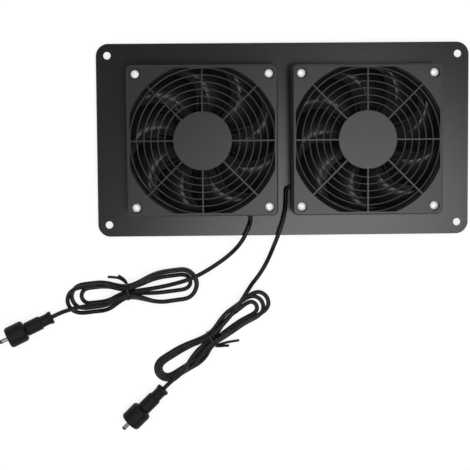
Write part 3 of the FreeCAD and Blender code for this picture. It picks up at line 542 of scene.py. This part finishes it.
# Painted shade: this mask darkens both the glow and the white colour of the paper round each fan's axis.
painted_shade_fade = add_node(tree, "ShaderNodeMapRange", {"Value": nearest.outputs[0], "From Min": PAINTED_SHADE_RADIUS * MM,
                                             "From Max": PAINTED_SHADE_END_RADIUS * MM, "To Min": PAINTED_SHADE_LEVEL,
                                             "To Max": 1.0}).outputs["Result"]
shine = add_node(tree, "ShaderNodeMath", {0: shown.outputs[0], 1: PAPER_GLOW}, operation="MULTIPLY")
strength = add_node(tree, "ShaderNodeMath", {0: shine.outputs[0], 1: painted_shade_fade}, operation="MULTIPLY")
glow = add_node(tree, "ShaderNodeEmission", {"Color": (1, 1, 1, 1), "Strength": strength.outputs[0]})
white = add_node(tree, "ShaderNodeMath", {0: painted_shade_fade, 1: PAPER_WHITE}, operation="MULTIPLY")
lit = add_node(tree, "ShaderNodeBsdfDiffuse", {"Color": white.outputs[0]})
both = add_node(tree, "ShaderNodeAddShader", {0: glow.outputs[0], 1: lit.outputs[0]})
add_node(tree, "ShaderNodeOutputMaterial", {"Surface": both.outputs[0]})
floor.data.materials.append(paper)
print("fan axes at x in mm:", [round(x / MM, 2) for x in fan_centres])

# %% [markdown]
# ## The lamps
# One large soft box hangs near the camera, to the right of the object and towards its cables.
# It is turned about its cord, because its blurred mirror image on the satin plate is what makes
# the plate paler at the lower right, along a slanting line. A wide, weak fill lamp overhead is
# left out of reflections, where it would cover the whole plate.

# %% Lamps
SOFTBOX_WIDE = 520.0
SOFTBOX_DEEP = 360.0
SOFTBOX_PLACE = (151.0, -207.0, 1300.0)
SOFTBOX_TURN = 42.7
SOFTBOX_WATTS = 2.95
FILL_WIDE = 1600.0
FILL_PLACE = (0.0, 0.0, 2200.0)
FILL_WATTS = 4.0


def area_lamp(name, shape, wide, place, watts):
    data = bpy.data.lights.new(name, "AREA")
    data.shape = shape
    data.size = wide * MM
    data.energy = watts
    lamp = bpy.data.objects.new(name, data)
    lamp.location = Vector(place) * MM
    bpy.context.scene.collection.objects.link(lamp)
    return lamp


softbox = area_lamp("softbox", "RECTANGLE", SOFTBOX_WIDE, SOFTBOX_PLACE, SOFTBOX_WATTS)
softbox.data.size_y = SOFTBOX_DEEP * MM
softbox.rotation_euler.z = math.radians(SOFTBOX_TURN)
fill = area_lamp("overhead_fill", "DISK", FILL_WIDE, FILL_PLACE, FILL_WATTS)
fill.visible_glossy = False
print("softbox watts:", SOFTBOX_WATTS)

# %% [markdown]
# ## The room
# The room is a light tent: pale round the horizon, half as pale overhead, and with a ring of lamps
# nearly 60 degrees up. Black faces that look straight up mirror the tent's dull top and stay black.
# The front parts of the blades are tilted by about half the angle between the ring and straight up,
# so they mirror it through the guard as rows of bright spots. Heights in the tent are given as
# sines of the angle above the horizon. The camera itself sees the tent as white.

# %% Room
HORIZON_LEVEL = 0.50
OVERHEAD_LEVEL = 0.25
OVERHEAD_START = 0.5
RING_LEVEL = 3.2
RING_LOW = 0.78
RING_HIGH = 0.90
RING_EDGE = 0.04

room = bpy.data.worlds.new("white_tent")
bpy.context.scene.world = room
room.use_nodes = True
tree = room.node_tree
tree.nodes.clear()
way = add_node(tree, "ShaderNodeTexCoord").outputs["Generated"]
up = add_node(tree, "ShaderNodeSeparateXYZ", {"Vector": way}).outputs["Z"]
tent = add_node(tree, "ShaderNodeMapRange", {"Value": up, "From Min": 0.0, "From Max": OVERHEAD_START,
                                             "To Min": HORIZON_LEVEL, "To Max": OVERHEAD_LEVEL})
above = add_node(tree, "ShaderNodeMapRange", {"Value": up, "From Min": RING_LOW,
                                              "From Max": RING_LOW + RING_EDGE},
                 interpolation_type="SMOOTHSTEP")
ring = add_node(tree, "ShaderNodeMapRange", {"Value": up, "From Min": RING_HIGH - RING_EDGE,
                                             "From Max": RING_HIGH, "To Min": RING_LEVEL, "To Max": 0.0},
                interpolation_type="SMOOTHSTEP")
level = add_node(tree, "ShaderNodeMath", {0: above.outputs["Result"], 1: ring.outputs["Result"],
                                          2: tent.outputs["Result"]}, operation="MULTIPLY_ADD")
rays = add_node(tree, "ShaderNodeLightPath")
strength = add_node(tree, "ShaderNodeMath", {0: level.outputs[0], 1: rays.outputs["Is Camera Ray"]},
                    operation="MAXIMUM")
sky = add_node(tree, "ShaderNodeBackground", {"Color": (1, 1, 1, 1), "Strength": strength.outputs[0]})
add_node(tree, "ShaderNodeOutputWorld", {"Surface": sky.outputs[0]})
bpy.context.scene.view_settings.view_transform = "Standard"
print("room:", room.name)

# %% [markdown]
# ## The last update
# The view layer is brought up to date, so that each piece stands in its final place.

# %% Last update
bpy.context.view_layer.update()
